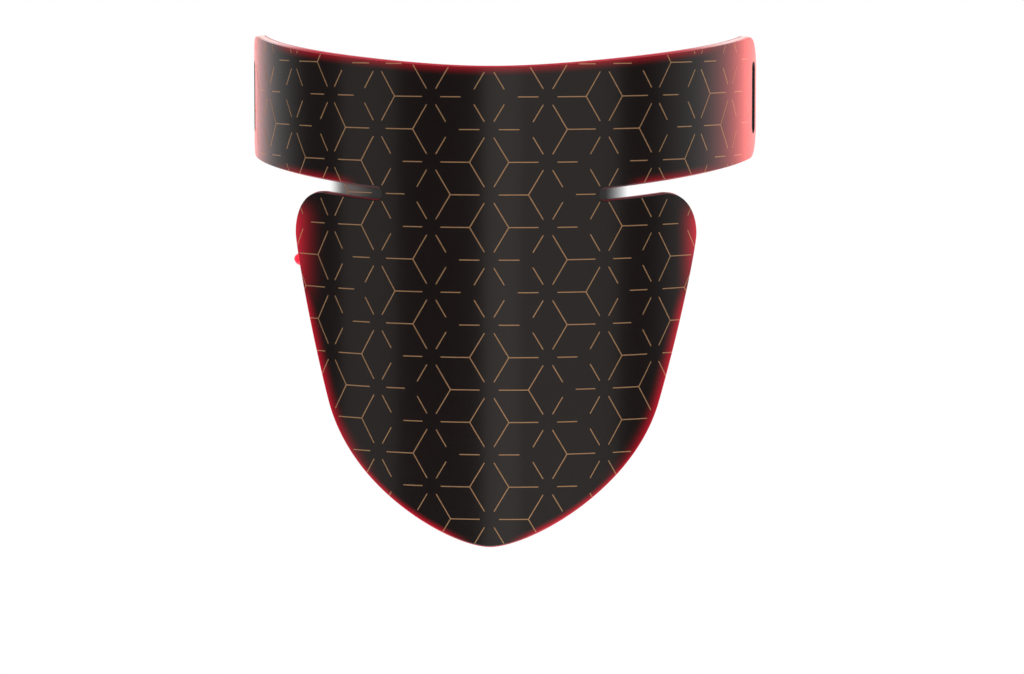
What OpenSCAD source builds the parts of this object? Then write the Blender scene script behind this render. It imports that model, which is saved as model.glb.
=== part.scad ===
// LED face mask: a thin glossy sheet bent round the face. A flexible board of
// LEDs lies behind it, closed in by a clear inner cover and a soft red edge
// seal. Two temple wings flex inwards and carry the slots for a head strap.
//
// Lengths are in millimetres. The origin is on the bridge of the wearer's
// nose, where the nose rest bears. +Z is up and the mask looks along -Y.
// Left and right are as seen from the front.

/* [Sheet] */
// outer radius the sheet is bent to
sheet_r = 110; // [106:1:116]
// thickness of the glossy front shell
shell_t = 1.2; // [0.8:0.1:1.3]
// thickness of the clear inner cover
cover_t = 1.2; // [0.8:0.1:1.6]
// depth from the shell's front face to the cover's front face
stack_t = 3.6; // [3.5:0.1:4.2]
// bond line left between one layer and the next
bond = 0.15; // [0.12:0.01:0.2]
// how far the shell's edge stops short of the seal's edge
shell_inset = 0.45; // [0.2:0.05:0.8]

/* [Outline, measured along the bent sheet] */
// height on the centre line, from the chin tip to the top edge
face_h = 201.2; // [199:0.1:203]
// rise of the top edge towards the wings, per unit of arc
top_rise = 0.087; // [0.07:0.001:0.1]
// arc over which the top edge eases into that rise
top_ease = 30; // [15:1:45]
// arc from the centre line to the end of each wing
wing_reach = 163; // [160:1:165]
// corner radius of the wing ends
wing_corner = 16; // [12:1:18]
// arc from the centre line to the notch's round end
notch_s = 49.8; // [49:0.1:51]
// height of the notch's round end above the chin tip
notch_z = 147.36; // [146.5:0.01:148.5]
// radius of the notch's round end
notch_r = 2.3; // [2:0.1:2.6]
// rise of the wing's lower edge, per unit of arc
wing_rise = 0.089; // [0.08:0.001:0.1]
// rise of the cheek's upper edge, per unit of arc
cheek_rise = 0.076; // [0.06:0.001:0.08]
// arc from the centre line to the centre of the cheek's corner
cheek_s = 80.25; // [80:0.05:80.5]
// radius of the cheek's corner
cheek_r = 18; // [17.8:0.1:18.2]
// half width of the mask at the jaw, along the sheet
jaw_s = 76.3; // [75:0.1:78]
// height of the jaw above the chin tip
jaw_z = 58.5; // [57:0.1:60]
// lean of the outline at the jaw, in degrees from upright
jaw_lean = 20.3; // [19:0.1:22]
// flatness of the chin: length of the curve's level handle
chin_pull = 17.3; // [15:0.1:20]
// fullness of the cheek: length of the handle below the jaw
jaw_pull = 35; // [32:0.5:38]

/* [LED board] */
// thickness of the flexible board
board_t = 0.3; // [0.2:0.05:0.35]
// how far the board stops short of the mask's edge
board_inset = 4; // [3.5:0.1:5]
// pitch of the LED columns along the sheet
led_pitch_s = 15.5; // [15.4:0.1:15.6]
// pitch of the LED rows
led_pitch_z = 17; // [16.8:0.1:17]
// size of an LED package: across, through, up
led_size = [2.8, 0.7, 3.5];
// radius of the LED's round window
led_window_r = 1.15; // [0.9:0.05:1.25]

/* [Edge seal and strap slots] */
// width of the edge seal
seal_w = 2; // [1.6:0.1:2.5]
// arc from the centre line to each strap slot
slot_s = 154.5; // [153.5:0.1:155]
// overall width of the strap slot's eyelet
slot_w = 6.4; // [6.2:0.1:6.8]
// overall height of the strap slot's eyelet
slot_h = 31; // [29:0.5:33]
// height of the slot's centre above the chin tip
slot_z = 185; // [184:0.5:186]
// wall of the eyelet
slot_wall = 0.5; // [0.4:0.05:0.5]

/* [Temple wings] */
// arc from the centre line to the line each wing flexes about
flex_s = 65; // [64.5:0.1:65.5]
// arc taken up by the flexing strip
flex_w = 6; // [5.8:0.1:6.4]

/* [Pads on the face side] */
// distance from the cover to the bridge of the nose
nose_gap = 25; // [24:0.5:26]
// height of the bridge of the nose above the chin tip
seat_z = 128; // [127.5:0.1:128.5]
// width of the nose rest at its foot
nose_w = 30; // [28:1:32]
// height of the nose rest
nose_h = 26; // [24:1:26]
// arc from the centre line to each forehead pad
pad_s = 24; // [23:0.5:25]
// height of the forehead pads above the chin tip
pad_z = 185; // [184:0.5:186]
// radius of a forehead pad
pad_r = 9; // [8:0.5:10]
// length of a forehead pad from the cover to its tip
pad_l = 20; // [18:0.5:22]

/* [Power socket] */
// height of the socket above the chin tip
port_z = 117.4; // [116.5:0.1:118.5]
// outer radius of the soft boot
boot_r = 2.6; // [2.5:0.1:2.8]
// outer radius of the metal sleeve
sleeve_r = 1.8; // [1.75:0.05:1.8]
// bore radius of the metal sleeve, for a 2.5 mm plug
sleeve_bore = 1.3; // [1.28:0.01:1.35]
// how far the boot stands out from the mask's edge
boot_out = 6.2; // [5:0.1:7]

/* [Hidden] */
$fn = 48;
e = 0.01;
gap = 0.1;

shell_r = sheet_r;
shell_in = sheet_r - shell_t;
board_r = shell_in - bond;
board_in = board_r - board_t;
cover_r = sheet_r - stack_t;
cover_in = cover_r - cover_t;
seal_r = shell_in - gap;
seal_in = cover_r + gap;
chip_r = board_in - gap;

axis_y = cover_in - nose_gap;

step = 4.8;
tip_angles = [18, 42, 66, 90];
corner_angles = [14, 28, 42, 56, 70, 80];
end_angles = [15, 30, 45, 60, 75, 90];

root_end = flex_s - flex_w / 2;
wing_start = flex_s + flex_w / 2;
widest_s = cheek_s + cheek_r;
widest_z = cheek_top(cheek_s) - cheek_r;

top_row_z = 193.6;
led_rows = 11;
led_cols = 9;
root_cols = 3;
wing_first_col = 5;

black = [0.04, 0.035, 0.035];
clear = [0.8, 0.85, 0.9, 0.5];
red = [0.75, 0.05, 0.12];
white = [0.92, 0.92, 0.9];
silicone = [0.85, 0.85, 0.84];
metal = [0.75, 0.75, 0.77];
copper = [0.75, 0.45, 0.32];

// ---- places on the bent sheet ----

function turn(s) = s / sheet_r * 180 / PI;

// the point at arc s, height z above the chin tip and radius r
function spot(s, z, r) = [r * sin(turn(s)), axis_y - r * cos(turn(s)), z - seat_z];

// puts its children on the sheet: X along it, -Y outwards, Z up
module on_sheet(s, z, r) {
  translate([0, axis_y, z - seat_z])
    rotate([0, 0, turn(s)])
      translate([0, -r, 0])
        children();
}

// ---- outline, with d as the distance inside it ----

function top(s, d = 0) =
  face_h + top_rise * (sqrt(s * s + top_ease * top_ease) - top_ease) - d;

function wing_low(s, d = 0) = notch_z + notch_r + wing_rise * (s - notch_s) + d;

function cheek_top(s, d = 0) = notch_z - notch_r + cheek_rise * (s - notch_s) - d;

function bezier(p, t) =
  pow(1 - t, 3) * p[0] + 3 * pow(1 - t, 2) * t * p[1]
  + 3 * (1 - t) * t * t * p[2] + pow(t, 3) * p[3];

lean = [sin(jaw_lean), cos(jaw_lean)];
jaw = [jaw_s, jaw_z];
widest = [widest_s, widest_z];
chin_curve = [[0, 0], [chin_pull, 0], jaw - jaw_pull * lean, jaw];
flank_curve = [jaw, jaw + 19.2 * lean, widest - [0, 7], widest];
chin_steps = 24;
flank_steps = 14;

// the edge from the chin tip out and up to the widest point
lower_path = concat(
  [for (i = [0 : chin_steps]) bezier(chin_curve, i / chin_steps)],
  [for (i = [1 : flank_steps]) bezier(flank_curve, i / flank_steps)]
);

function unit(v) = v / norm(v);

// the same path moved a distance d to its left, which is inwards
function moved_in(path, d) = [
  for (i = [0 : len(path) - 1])
    let (
      before = path[max(i - 1, 0)],
      after = path[min(i + 1, len(path) - 1)],
      along = unit(after - before)
    )
    path[i] + d * [-along[1], along[0]]
];

function low(s, path) = lookup(abs(s), path);

// ---- strips: columns of [arc, low edge, high edge] ----

function tip_s(d, a) = notch_s - (notch_r + d) * cos(a);

function even(from, to) =
  let (n = ceil((to - from) / step))
  [for (i = [1 : n]) from + (to - from) * i / n];

function centre_cols(d, path) =
  let (tip = tip_s(d, tip_angles[0]), n = 2 * ceil(tip / step))
  [for (i = [0 : n])
    let (s = tip * (2 * i / n - 1))
    [s, low(s, path), top(s, d)]];

function brow_cols(d, to) = concat(
  [for (a = tip_angles)
    [tip_s(d, a), notch_z + (notch_r + d) * sin(a), top(tip_s(d, a), d)]],
  [for (s = even(notch_s, to)) [s, wing_low(s, d), top(s, d)]]
);

function cheek_cols(d, path) = concat(
  [for (a = tip_angles)
    [tip_s(d, a), low(tip_s(d, a), path), notch_z - (notch_r + d) * sin(a)]],
  [for (s = even(notch_s, cheek_s)) [s, low(s, path), cheek_top(s, d)]],
  [for (a = corner_angles)
    let (s = cheek_s + (cheek_r - d) * sin(a))
    [s, low(s, path), widest_z + (cheek_r - d) * cos(a)]]
);

function wing_cols(d, from) =
  let (end_s = wing_reach - wing_corner)
  concat(
    [[from, wing_low(from, d), top(from, d)]],
    [for (s = even(from, end_s)) [s, wing_low(s, d), top(s, d)]],
    [for (a = end_angles)
      let (
        s = end_s + (wing_corner - d) * sin(a),
        cut = wing_corner - (wing_corner - d) * cos(a)
      )
      [s, wing_low(s) + cut, top(s) - cut]]
  );

function plain_cols(d, from, to) = [
  for (s = concat([from], even(from, to))) [s, wing_low(s, d), top(s, d)]
];

// a closed strip of sheet between two radii, one cell per pair of columns
module strip(cols, r_in, r_out) {
  n = len(cols);
  points = [
    for (c = cols)
      for (r = [r_out, r_in])
        for (z = [c[1], c[2]])
          spot(c[0], z, r)
  ];
  last = 4 * (n - 1);
  cells = [
    for (i = [0 : n - 2])
      let (a = 4 * i, b = 4 * i + 4)
      each [
        [a, a + 1, b + 1, b],
        [b + 2, b + 3, a + 3, a + 2],
        [a + 1, a + 3, b + 3],
        [a + 1, b + 3, b + 1],
        [a, b, b + 2],
        [a, b + 2, a + 2]
      ]
  ];
  ends = [[2, 3, 1, 0], [last, last + 1, last + 3, last + 2]];
  polyhedron(points, concat(cells, ends), convexity = 6);
}

module both_sides() {
  children();
  mirror([1, 0, 0])
    children();
}

module side(dir) {
  if (dir > 0)
    children();
  else
    mirror([1, 0, 0])
      children();
}

// the round sheet that every layer is cut from
module tube(r_in, r_out) {
  translate([0, axis_y, -seat_z - 20])
    difference() {
      cylinder(r = r_out, h = face_h + 60, $fn = 180);
      translate([0, 0, -e])
        cylinder(r = r_in, h = face_h + 60 + 2 * e, $fn = 180);
    }
}

module root_outline(d, r_in, r_out, brow_end) {
  path = moved_in(lower_path, d);
  strip(centre_cols(d, path), r_in, r_out);
  both_sides() {
    strip(brow_cols(d, brow_end), r_in, r_out);
    strip(cheek_cols(d, path), r_in, r_out);
  }
}

module root_layer(d, r_in, r_out, brow_end = root_end) {
  intersection() {
    tube(r_in, r_out);
    root_outline(d, r_in - 2, r_out + 2, brow_end);
  }
}

module wing_layer(d, r_in, r_out, from) {
  intersection() {
    tube(r_in, r_out);
    strip(wing_cols(d, from), r_in - 2, r_out + 2);
  }
}

module bend_layer(d, r_in, r_out, from, to) {
  intersection() {
    tube(r_in, r_out);
    strip(plain_cols(d, from, to), r_in - 2, r_out + 2);
  }
}

// ---- strap slot ----

// an upright oval prism through the sheet, from radius r_in out to r_out
module oval(w, h, r_in, r_out) {
  translate([0, -r_out, 0])
    rotate([-90, 0, 0])
      linear_extrude(height = r_out - r_in)
        hull() {
          translate([0, (h - w) / 2])
            circle(d = w);
          translate([0, -(h - w) / 2])
            circle(d = w);
        }
}

module slot_cut(grow) {
  on_sheet(slot_s, slot_z, 0)
    oval(slot_w + 2 * grow, slot_h + 2 * grow, cover_in - 2, shell_r + 2);
}

module slot_liner() {
  flange_t = 0.9;
  flange_w = 2.2;
  inner_w = slot_w - 2 * slot_wall;
  inner_h = slot_h - 2 * slot_wall;
  back_r = cover_in - 0.2 - flange_t;
  color(black)
    on_sheet(slot_s, slot_z, 0)
      difference() {
        union() {
          oval(slot_w, slot_h, back_r, shell_r);
          oval(slot_w + 2 * flange_w, slot_h + 2 * flange_w, back_r, back_r + flange_t);
        }
        oval(inner_w, inner_h, back_r - 1, shell_r + 1);
      }
}

// ---- power socket, on the left cheek's edge ----

port_edge = lookup(port_z, [for (p = lower_path) [p[1], p[0]]]);
// low enough that the flat housing stays clear of the curved board
port_r = cover_r - 0.9;
boot_in = 2.8;
sleeve_in = 2.98;
house_from = 3;
house_l = 8;
house_t = 4.4;
house_h = 6.4;
cavity_r = 1.5;
tail_l = 1.4;

// X points out of the mask here, from the mask's edge
module at_port() {
  on_sheet(-port_edge, port_z, port_r)
    rotate([0, 0, 180])
      children();
}

// a round bar along the socket's axis, X from 'from' to 'to'
module along_port(r, from, to) {
  translate([from, 0, 0])
    rotate([0, 90, 0])
      cylinder(r = r, h = to - from);
}

module port_clearance() {
  at_port() {
    along_port(boot_r + gap, -boot_in - gap, boot_out + 5);
    translate([-house_from - house_l - tail_l - 2 * gap, -house_t / 2 - gap, -house_h / 2 - gap])
      cube([house_l + tail_l + 3 * gap, house_t + 2 * gap, house_h + 2 * gap]);
  }
}

module port_boot() {
  nose = 1.1;
  color(red)
    at_port()
      rotate([0, 90, 0])
        rotate_extrude()
          difference() {
            union() {
              translate([0, -boot_in])
                square([boot_r, boot_in + boot_out - nose]);
              translate([boot_r - nose, boot_out - nose])
                circle(r = nose);
              translate([0, -boot_in])
                square([boot_r - nose, boot_in + boot_out]);
            }
            translate([-5, -boot_in - 1])
              square([5 + sleeve_r + 0.02, boot_in + boot_out + 2]);
            for (groove = [1.2, 2.3, 3.4])
              translate([boot_r - 0.3, groove])
                square([1, 0.5]);
          }
}

module port_sleeve() {
  lip = 0.25;
  color(metal)
    at_port()
      difference() {
        union() {
          along_port(sleeve_r, -sleeve_in, boot_out);
          along_port(sleeve_r + 0.35, boot_out + 0.05, boot_out + 0.05 + lip);
          along_port(sleeve_r, boot_out - e, boot_out + 0.05 + lip);
        }
        along_port(sleeve_bore, -sleeve_in - 1, boot_out + 2);
      }
}

module port_housing() {
  color(black)
    at_port()
      difference() {
        translate([-house_from - house_l, -house_t / 2, -house_h / 2])
          cube([house_l, house_t, house_h]);
        along_port(cavity_r, -house_from - house_l + 1, 0);
        for (dir = [-1, 1])
          translate([-house_from - house_l - 1, -0.6, dir * 2.2 - 0.3])
            cube([3, 1.2, 0.6]);
        for (dir = [-1, 1])
          translate([-house_from - house_l - 1, dir * (house_t / 2) - 0.35, -2])
            cube([house_l + 2, 0.7, 0.5]);
      }
}

module port_contacts() {
  blade = 0.25;
  color(copper)
    at_port()
      for (dir = [-1, 1]) {
        translate([-house_from - house_l - tail_l, -0.45, dir * 2.2 - blade / 2])
          cube([3, 0.9, blade]);
        translate([-house_from - house_l + 1.2, -0.4, dir * 1.25 - blade / 2])
          cube([4, 0.8, blade]);
      }
}

// ---- LEDs and the parts round them ----

function col_s(i) = i * led_pitch_s;
function row_z(j) = top_row_z - j * led_pitch_z;

board_path = moved_in(lower_path, board_inset + 4);

function near_notch(s, z) = s > 40 && z > 137 && z < 157;
function behind_rest(s, z) = s < 10 && abs(z - seat_z) < 12;

// true where the root board has room for an LED
function led_fits(s, z) =
  z > low(s, board_path)
  && !near_notch(s, z)
  && !behind_rest(s, z)
  && (s < notch_s || z < cheek_top(s) - 12);

root_spots = [
  for (i = [-root_cols - 2 : root_cols + 2])
    for (j = [0 : led_rows - 1])
      let (s = col_s(i), z = row_z(j))
      if (led_fits(abs(s), z))
        [s, z, (abs(i) + j) % 2]
];

wing_spots = [
  for (i = [wing_first_col : led_cols])
    for (j = [-1 : 1])
      let (s = col_s(i), mid = (top(s) + wing_low(s)) / 2)
      [s, mid - j * led_pitch_z, (i + j + 1) % 2]
];

module led() {
  difference() {
    translate([-led_size[0] / 2, 0, -led_size[2] / 2])
      cube(led_size);
    translate([0, led_size[1] - 0.15, 0])
      rotate([-90, 0, 0])
        cylinder(r = led_window_r, h = 1);
  }
}

module leds(spots, kind) {
  for (p = spots)
    if (p[2] == kind)
      on_sheet(p[0], p[1], chip_r)
        led();
}

module resistor_rows(spots) {
  for (p = spots)
    if (p[2] == 0)
      on_sheet(p[0] + 4.2, p[1], chip_r)
        translate([-0.4, 0, -0.8])
          cube([0.8, 0.45, 1.6]);
}

// ---- sub-parts fixed to the face part of the mask ----

module front_shell() {
  color(black)
    root_layer(shell_inset, shell_in, shell_r);
}

module inner_cover() {
  color(clear)
    difference() {
      root_layer(0, cover_in, cover_r);
      port_clearance();
    }
}

module edge_seal() {
  color(red)
    difference() {
      root_layer(0, seal_in, seal_r);
      root_outline(seal_w, seal_in - 1, seal_r + 1, root_end + 5);
      port_clearance();
    }
}

module led_board() {
  color(white)
    root_layer(board_inset, board_in, board_r, root_end - 2);
}

module red_leds() {
  color([0.95, 0.85, 0.8])
    leds(root_spots, 0);
}

module nir_leds() {
  color([0.25, 0.25, 0.3])
    leds(root_spots, 1);
}

module resistors() {
  color([0.1, 0.1, 0.1])
    resistor_rows(root_spots);
}

module driver_chips() {
  color([0.08, 0.08, 0.09])
    for (s = [-38.5, -23.2, 23.2, 38.5])
      on_sheet(s, 133, chip_r)
        difference() {
          translate([-1.5, 0, -1.5])
            cube([3, 0.8, 3]);
          translate([-0.95, 0.72, 0.95])
            rotate([-90, 0, 0])
              cylinder(r = 0.25, h = 1, $fn = 16);
        }
}

module capacitors() {
  color([0.62, 0.5, 0.36])
    for (s = [-38.5, -23.2, 23.2, 38.5])
      for (z = [127.6, 138.4])
        on_sheet(s, z, chip_r)
          translate([-1, 0, -0.6])
            cube([2, 0.8, 1.2]);
}

// a silicone saddle: a foot on the cover and two flanks along the nose
module nose_rest() {
  foot_t = 2.4;
  ridge_lean = 24;
  groove_r = 5.5;
  flank_y = 8;
  foot_y = axis_y - (cover_in - gap);
  color(silicone)
    difference() {
      intersection() {
        union() {
          translate([0, 0, -nose_h / 2])
            linear_extrude(height = nose_h)
              offset(r = 2)
                offset(delta = -2)
                  polygon([
                    [-nose_w / 2, foot_y - 3],
                    [nose_w / 2, foot_y - 3],
                    [nose_w / 2, foot_y + foot_t + 2],
                    [11.5, -6],
                    [14.5, flank_y],
                    [-14.5, flank_y],
                    [-11.5, -6],
                    [-nose_w / 2, foot_y + foot_t + 2]
                  ]);
        }
        translate([0, axis_y, -nose_h])
          cylinder(r = cover_in - gap, h = 2 * nose_h, $fn = 180);
        rotate([90, 0, 0])
          translate([0, 0, -30])
            linear_extrude(height = 80)
              offset(r = 6)
                square([nose_w - 12, nose_h - 12], center = true);
      }
      rotate([ridge_lean, 0, 0])
        hull() {
          translate([0, groove_r, -40])
            cylinder(r = groove_r, h = 80);
          for (dir = [-1, 1])
            translate([dir * 12, 26, -40])
              cylinder(r = groove_r, h = 80);
        }
      translate([0, foot_y + foot_t + 6.5, -nose_h])
        cylinder(r = 5, h = 2 * nose_h);
    }
}

module forehead_pads() {
  tip = 3;
  neck = pad_r - 2.5;
  color(silicone)
    both_sides()
      on_sheet(pad_s, pad_z, cover_in)
        intersection() {
          rotate([-90, 0, 0])
            rotate_extrude()
              difference() {
                union() {
                  translate([0, -1])
                    square([pad_r + 2, 2.6]);
                  square([neck, pad_l - tip]);
                  translate([neck - tip, pad_l - tip])
                    circle(r = tip);
                  square([neck - tip, pad_l]);
                  translate([0, 6])
                    square([pad_r - 1, 2]);
                  translate([0, 11])
                    square([pad_r - 1, 2]);
                }
                translate([-20, -20])
                  square([20, 80]);
              }
          translate([0, cover_in, -30])
            cylinder(r = cover_in - gap, h = 60, $fn = 180);
        }
}

// ---- flexing strips ----

bend_from = root_end + gap;
bend_to = wing_start - gap;

module bend_shell(dir) {
  side(dir)
    color(black)
      bend_layer(shell_inset, shell_in, shell_r, bend_from, bend_to);
}

module bend_cover(dir) {
  side(dir)
    color(clear)
      bend_layer(0, cover_in, cover_r, bend_from, bend_to);
}

module bend_seal(dir) {
  side(dir)
    color(red)
      difference() {
        bend_layer(0, seal_in, seal_r, bend_from, bend_to);
        strip(plain_cols(seal_w, bend_from - 1, bend_to + 1), seal_in - 1, seal_r + 1);
      }
}

module flex_jumper(dir) {
  jump_r = board_in - gap;
  jump_t = 0.15;
  tail = 4;
  side(dir)
    color(copper)
      intersection() {
        tube(jump_r - jump_t, jump_r);
        strip(
          [for (s = concat([root_end - tail], even(root_end - tail, wing_start + tail)))
            [s, 170, 184]],
          jump_r - 2, jump_r + 2);
      }
}

// ---- sub-parts of a temple wing ----

module temple_shell(dir) {
  side(dir)
    color(black)
      difference() {
        wing_layer(shell_inset, shell_in, shell_r, wing_start);
        slot_cut(gap);
      }
}

module temple_cover(dir) {
  side(dir)
    color(clear)
      difference() {
        wing_layer(0, cover_in, cover_r, wing_start);
        slot_cut(gap);
      }
}

module temple_seal(dir) {
  side(dir)
    color(red)
      difference() {
        wing_layer(0, seal_in, seal_r, wing_start);
        strip(wing_cols(seal_w, wing_start - 1), seal_in - 1, seal_r + 1);
      }
}

module temple_board(dir) {
  side(dir)
    color(white)
      bend_layer(board_inset, board_in, board_r, wing_start + 2, slot_s - 8.5);
}

module temple_leds(dir, kind) {
  side(dir)
    leds(wing_spots, kind);
}

module temple_resistors(dir) {
  side(dir)
    color([0.1, 0.1, 0.1])
      resistor_rows(wing_spots);
}

module bend_shell_left() { bend_shell(-1); }
module bend_shell_right() { bend_shell(1); }
module bend_cover_left() { bend_cover(-1); }
module bend_cover_right() { bend_cover(1); }
module bend_seal_left() { bend_seal(-1); }
module bend_seal_right() { bend_seal(1); }
module flex_jumper_left() { flex_jumper(-1); }
module flex_jumper_right() { flex_jumper(1); }
module temple_shell_left() { temple_shell(-1); }
module temple_shell_right() { temple_shell(1); }
module temple_cover_left() { temple_cover(-1); }
module temple_cover_right() { temple_cover(1); }
module temple_seal_left() { temple_seal(-1); }
module temple_seal_right() { temple_seal(1); }
module temple_board_left() { temple_board(-1); }
module temple_board_right() { temple_board(1); }
module temple_red_leds_left() { color([0.95, 0.85, 0.8]) temple_leds(-1, 0); }
module temple_red_leds_right() { color([0.95, 0.85, 0.8]) temple_leds(1, 0); }
module temple_nir_leds_left() { color([0.25, 0.25, 0.3]) temple_leds(-1, 1); }
module temple_nir_leds_right() { color([0.25, 0.25, 0.3]) temple_leds(1, 1); }
module temple_resistors_left() { temple_resistors(-1); }
module temple_resistors_right() { temple_resistors(1); }
module slot_liner_left() { side(-1) slot_liner(); }
module slot_liner_right() { side(1) slot_liner(); }

front_shell();
inner_cover();
edge_seal();
led_board();
red_leds();
nir_leds();
resistors();
driver_chips();
capacitors();
nose_rest();
forehead_pads();
port_boot();
port_housing();
port_sleeve();
port_contacts();
bend_shell_left();
bend_cover_left();
bend_seal_left();
flex_jumper_left();
bend_shell_right();
bend_cover_right();
bend_seal_right();
flex_jumper_right();
temple_shell_left();
temple_cover_left();
temple_seal_left();
temple_board_left();
temple_red_leds_left();
temple_nir_leds_left();
temple_resistors_left();
slot_liner_left();
temple_shell_right();
temple_cover_right();
temple_seal_right();
temple_board_right();
temple_red_leds_right();
temple_nir_leds_right();
temple_resistors_right();
slot_liner_right();
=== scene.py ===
"""LED face mask, seen from the front: a glossy dark sheet with foil lines and a painted glow along its edges.

The sheet layers are built flat, as outlines in (arc, height), and bent onto their cylinder. Lengths in the
first sections are in millimetres, as in the CAD source; every mesh is made in metres, in the CAD's frame.
"""

import math

import bmesh
import bpy
import numpy as np
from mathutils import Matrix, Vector
from mathutils.geometry import delaunay_2d_cdt


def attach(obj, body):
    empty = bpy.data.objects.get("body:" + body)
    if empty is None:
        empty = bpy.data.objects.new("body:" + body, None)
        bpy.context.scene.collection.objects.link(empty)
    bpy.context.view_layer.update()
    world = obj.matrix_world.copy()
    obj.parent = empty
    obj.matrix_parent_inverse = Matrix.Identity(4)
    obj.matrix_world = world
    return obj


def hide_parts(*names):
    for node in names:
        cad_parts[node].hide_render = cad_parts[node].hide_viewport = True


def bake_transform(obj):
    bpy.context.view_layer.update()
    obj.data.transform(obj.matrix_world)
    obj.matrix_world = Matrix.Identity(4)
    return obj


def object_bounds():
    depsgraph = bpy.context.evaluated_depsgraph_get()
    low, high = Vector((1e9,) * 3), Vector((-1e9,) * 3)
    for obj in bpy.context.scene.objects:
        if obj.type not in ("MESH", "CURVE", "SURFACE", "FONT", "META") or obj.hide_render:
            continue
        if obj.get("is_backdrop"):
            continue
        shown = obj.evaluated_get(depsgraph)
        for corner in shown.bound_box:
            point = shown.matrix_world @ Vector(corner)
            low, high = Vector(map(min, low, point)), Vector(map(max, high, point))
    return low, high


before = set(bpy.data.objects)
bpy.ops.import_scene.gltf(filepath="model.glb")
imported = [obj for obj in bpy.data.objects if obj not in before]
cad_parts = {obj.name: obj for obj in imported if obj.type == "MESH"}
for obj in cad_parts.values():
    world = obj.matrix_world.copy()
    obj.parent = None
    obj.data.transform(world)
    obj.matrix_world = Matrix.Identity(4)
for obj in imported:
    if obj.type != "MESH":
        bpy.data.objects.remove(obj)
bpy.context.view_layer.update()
MM = 0.001

# ---------------------------------------------------------------- sizes, in millimetres

SHEET_R = 110.0
SHELL_IN = 108.8
BOARD_R, BOARD_IN = 108.65, 108.35
SEAL_R, SEAL_IN = 108.7, 106.5
COVER_R, COVER_IN = 106.4, 105.2
CHIP_R = 108.25
AXIS_Y = COVER_IN - 25.0
SEAT_Z = 128.0

SHELL_INSET = 0.45
BOARD_INSET = 4.0
SEAL_W = 2.0

NOTCH_S, NOTCH_Z, NOTCH_R = 49.8, 147.36, 2.3
CHEEK_S, CHEEK_R = 80.25, 18.0
WING_REACH, WING_CORNER = 163.0, 16.0
SLOT_S, SLOT_Z, SLOT_W, SLOT_H = 154.5, 185.0, 6.4, 31.0
HINGE_R = 107.6
BEND_FROM, BEND_TO = 59.0, 71.0  # the stretch of sheet that turns with a wing's hinge
PORT_Z, PORT_GAP, PORT_BEYOND = 117.4, 2.9, -90  # the seal opens this far either side of the socket

LED_PITCH_S, LED_PITCH_Z = 15.5, 17.0
TOP_ROW_Z, LED_ROWS = 193.6, 11

STAR_S, STAR_Z = 24.56, 13.58
STAR_TOP_Z = 93.33
RAY_START, RAY_STOP = 0.245, 0.77  # where a ray that meets no others begins and ends, as parts of its length
FOIL_W, FOIL_H, FOIL_SINK = 0.46, 0.06, 0.03
FOIL_RIM = 0.35  # bare sheet between the print and an edge
SHORTEST_RAY = 0.8

WEB_R, WEB_T, WEB_LIP = 108.3, 0.35, 0.9
WEB_FROM = 46.2
WEB_REACH = {"right": 62.0, "left": 77.0}
WEB_CLEAR = 0.05  # beside the wing, which moves
WEB_PRINT = 68.0  # how far the print reaches along the left web


def turn(s):
    return s / SHEET_R


def spots(s, z, r):
    """Points in metres for arcs s, heights z above the chin tip and radii r."""
    s, z, r = np.broadcast_arrays(np.asarray(s, float), z, r)
    return MM * np.stack([r * np.sin(turn(s)), AXIS_Y - r * np.cos(turn(s)), z - SEAT_Z], -1)


# ---------------------------------------------------------------- the mask's outline, laid flat


def top(s):
    return 201.2 + 0.087 * (np.sqrt(s * s + 30.0**2) - 30.0)


def wing_low(s):
    return NOTCH_Z + NOTCH_R + 0.089 * (s - NOTCH_S)


def cheek_top(s):
    return NOTCH_Z - NOTCH_R + 0.076 * (s - NOTCH_S)


def bezier(p, n):
    t = np.linspace(0, 1, n)[:, None]
    p = np.array(p, float)
    return (1 - t) ** 3 * p[0] + 3 * (1 - t) ** 2 * t * p[1] + 3 * (1 - t) * t * t * p[2] + t**3 * p[3]


def arc(centre, r, a0, a1, n):
    a = np.radians(np.linspace(a0, a1, n))
    return np.stack([centre[0] + r * np.cos(a), centre[1] + r * np.sin(a)], -1)


def curve(f, s0, s1, step=1.2):
    s = np.linspace(s0, s1, max(2, int(abs(s1 - s0) / step) + 1))
    return np.stack([s, f(s)], -1)


def chain(*parts):
    """Joins point lists end to end, dropping repeated joints."""
    out = [parts[0]]
    for part in parts[1:]:
        out.append(part[1:] if np.allclose(part[0], out[-1][-1], atol=0.3) else part)
    return np.concatenate(out)


JAW = np.array([76.3, 58.5])
LEAN = np.array([math.sin(math.radians(20.3)), math.cos(math.radians(20.3))])
CHEEK_MID = np.array([CHEEK_S, cheek_top(CHEEK_S) - CHEEK_R])
WIDEST = CHEEK_MID + [CHEEK_R, 0]

chin = bezier([(0, 0), (17.3, 0), JAW - 35.0 * LEAN, JAW], 110)
flank = bezier([JAW, JAW + 19.2 * LEAN, WIDEST - [0, 7.0], WIDEST], 62)
cheek_round = arc(CHEEK_MID, CHEEK_R, 0, 90, 26)
notch_end = arc((NOTCH_S, NOTCH_Z), NOTCH_R, 270, 90, 17)

END_S = WING_REACH - WING_CORNER
wing_round_low = arc((END_S, wing_low(END_S) + WING_CORNER), WING_CORNER, -85, 0, 22)
wing_round_top = arc((END_S, top(END_S) - WING_CORNER), WING_CORNER, 0, 86, 22)


def mirrored(path):
    return path[::-1] * [-1, 1]


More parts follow.
